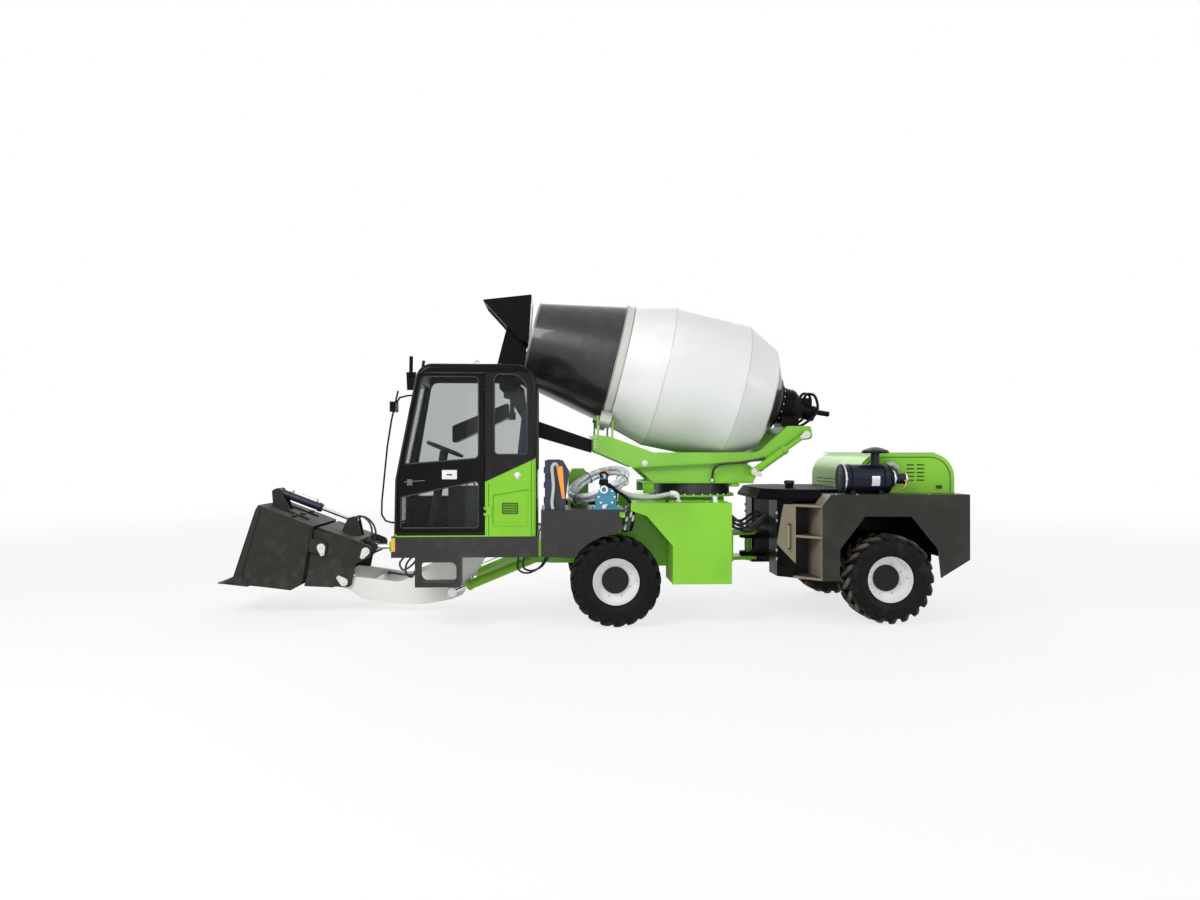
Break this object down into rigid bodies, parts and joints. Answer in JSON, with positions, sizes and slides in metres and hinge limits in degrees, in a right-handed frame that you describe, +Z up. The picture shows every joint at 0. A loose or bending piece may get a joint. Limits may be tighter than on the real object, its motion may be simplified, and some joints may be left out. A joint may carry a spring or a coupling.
{
  "type": "self-loading concrete mixer",
  "caption": "Articulated self-loading concrete mixer with a closed cab, a front boom with an opening bucket, a slewing tilted drum and four lugged tyres.",
  "frame": {"origin": "on the ground under the middle of the machine's bounding box", "axes": "+X from the bucket to the engine end, +Y to the machine's right-hand side, away from the cab, +Z up"},
  "size_m": [7.973, 2.328, 3.5165],
  "materials": {
    "green_paint": "gloss lime green enamel",
    "dark_grey_paint": "satin dark grey paint",
    "black_paint": "satin black paint",
    "olive_paint": "satin dark olive grey paint",
    "cream_paint": "gloss cream white enamel",
    "white_paint": "gloss white enamel with a black front cone",
    "chrome": "polished chromed rod",
    "bucket_paint": "satin charcoal paint",
    "navy_paint": "satin dark blue paint",
    "teal_paint": "gloss teal enamel on castings",
    "clear_hose": "cloudy clear hose",
    "seat_fabric": "black woven seat cloth",
    "black_plastic": "textured black plastic",
    "glass": "tinted safety glass",
    "tyre": "black tyre rubber with lugs",
    "rim_paint": "gloss white enamel",
    "amber_lens": "amber lamp lens",
    "clear_lens": "clear lamp lens",
    "red_lens": "red lamp lens"
  },
  "bodies": {
    "front_frame": {"front_chassis": "green_paint", "front_axle": "green_paint", "front_fenders": "dark_grey_paint", "water_tanks": "green_paint", "cab_base": "dark_grey_paint", "cab_left_side": "green_paint", "cab_right_side": "green_paint", "cab_front": "green_paint", "cab_rear": "green_paint", "cab_roof": "black_paint", "cab_glass": "glass", "cab_seat": "seat_fabric", "cab_controls": "black_plastic", "cab_mirror": "black_paint", "water_pump": "teal_paint", "suction_hose": "clear_hose", "control_box": "navy_paint", "oil_tank": "green_paint", "slew_base": "green_paint", "corner_lamps": "amber_lens", "head_lamps": "clear_lens"},
    "cab_door": {"cab_door": "green_paint", "cab_door_glass": "glass"},
    "boom_arm": {"boom": "cream_paint"},
    "lift_barrels": {"lift_barrels": "cream_paint"},
    "lift_rods": {"lift_rods": "chrome"},
    "tilt_barrel": {"tilt_barrel": "cream_paint"},
    "tilt_rod": {"tilt_rod": "chrome"},
    "bucket_carrier": {"bucket_carrier": "bucket_paint"},
    "bucket_shell": {"bucket_shell": "bucket_paint", "gate_barrel": "navy_paint"},
    "gate_rod": {"gate_rod": "chrome"},
    "drum_turret": {"turntable": "green_paint", "drum_cradle": "green_paint", "cradle_cylinders": "green_paint", "feed_arm": "black_paint", "feed_hopper": "black_paint", "drum_drive": "black_paint"},
    "drum": {"drum": "white_paint"},
    "discharge_chute": {"discharge_chute": "black_paint"},
    "rear_frame": {"rear_chassis": "black_paint", "rear_axle": "green_paint", "rear_panels": "olive_paint", "step_tanks": "black_paint", "nose_deck": "black_paint", "hood": "green_paint", "engine_block": "black_paint", "air_filter": "black_paint", "rear_weight": "black_paint", "rear_lamps": "red_lens"},
    "front_left_wheel": {"front_left_tyre": "tyre", "front_left_rim": "rim_paint"},
    "front_right_wheel": {"front_right_tyre": "tyre", "front_right_rim": "rim_paint"},
    "rear_left_wheel": {"rear_left_tyre": "tyre", "rear_left_rim": "rim_paint"},
    "rear_right_wheel": {"rear_right_tyre": "tyre", "rear_right_rim": "rim_paint"}
  },
  "joints": [
    {"name": "articulation", "type": "hinge", "parent": "front_frame", "child": "rear_frame", "pos_m": [1.95, 0, 0.75], "axis": [0, 0, 1], "range_deg": [-35, 35]},
    {"name": "front_left_roll", "type": "hinge", "parent": "front_frame", "child": "front_left_wheel", "pos_m": [0.35, -0.955, 0.465], "axis": [0, 1, 0], "continuous": true},
    {"name": "front_right_roll", "type": "hinge", "parent": "front_frame", "child": "front_right_wheel", "pos_m": [0.35, 0.955, 0.465], "axis": [0, 1, 0], "continuous": true},
    {"name": "rear_left_roll", "type": "hinge", "parent": "rear_frame", "child": "rear_left_wheel", "pos_m": [3.19, -0.955, 0.465], "axis": [0, 1, 0], "continuous": true},
    {"name": "rear_right_roll", "type": "hinge", "parent": "rear_frame", "child": "rear_right_wheel", "pos_m": [3.19, 0.955, 0.465], "axis": [0, 1, 0], "continuous": true},
    {"name": "boom_lift", "type": "hinge", "parent": "front_frame", "child": "boom_arm", "pos_m": [-0.75, 0.3, 1.15], "axis": [0, 1, 0], "range_deg": [-3, 78]},
    {"name": "lift_barrel_swing", "type": "hinge", "parent": "front_frame", "child": "lift_barrels", "pos_m": [-0.45, 0.3, 0.62], "axis": [0, 1, 0], "range_deg": [-2.5, 60]},
    {"name": "lift_rod_slide", "type": "slide", "parent": "lift_barrels", "child": "lift_rods", "axis": [-0.9257, 0, -0.3784], "range_m": [-0.03, 0.68]},
    {"name": "bucket_tilt", "type": "hinge", "parent": "boom_arm", "child": "bucket_carrier", "pos_m": [-2.605, 0.3, 0.345], "axis": [0, -1, 0], "range_deg": [-15, 60]},
    {"name": "tilt_barrel_swing", "type": "hinge", "parent": "boom_arm", "child": "tilt_barrel", "pos_m": [-1.18, 0.3, 0.7], "axis": [0, -1, 0], "range_deg": [-3.6, 1]},
    {"name": "tilt_rod_slide", "type": "slide", "parent": "tilt_barrel", "child": "tilt_rod", "axis": [-0.9999, 0, -0.0152], "range_m": [-0.1, 0.39]},
    {"name": "bucket_gate", "type": "hinge", "parent": "bucket_carrier", "child": "bucket_shell", "pos_m": [-2.845, 0.3, 0.731], "axis": [0, 1, 0], "range_deg": [0, 55]},
    {"name": "gate_rod_slide", "type": "slide", "parent": "bucket_shell", "child": "gate_rod", "axis": [0.9316, 0, -0.3635], "range_m": [-0.345, 0]},
    {"name": "slew", "type": "hinge", "parent": "front_frame", "child": "drum_turret", "pos_m": [1.296, 0, 1.37], "axis": [0, 0, -1], "range_deg": [0, 270]},
    {"name": "drum_spin", "type": "hinge", "parent": "drum_turret", "child": "drum", "pos_m": [-0.539, 0, 3.0185], "axis": [0.9717, 0, -0.2362], "continuous": true},
    {"name": "chute_swing", "type": "hinge", "parent": "drum_turret", "child": "discharge_chute", "pos_m": [-0.76, 0.04, 2.2], "axis": [0, 0, -1], "range_deg": [0, 90]},
    {"name": "door", "type": "hinge", "parent": "front_frame", "child": "cab_door", "pos_m": [-0.974, -1.15, 1.78], "axis": [0, 0, 1], "range_deg": [0, 90]}
  ],
  "couplings": [
    {"joint": "lift_barrel_swing", "follows": "boom_lift", "ratio": 0.7668},
    {"joint": "lift_rod_slide", "follows": "boom_lift", "m_per_rad": 0.4917},
    {"joint": "tilt_barrel_swing", "follows": "bucket_tilt", "ratio": -0.0563},
    {"joint": "tilt_rod_slide", "follows": "bucket_tilt", "m_per_rad": 0.3597},
    {"joint": "gate_rod_slide", "follows": "bucket_gate", "m_per_rad": -0.3506}
  ]
}
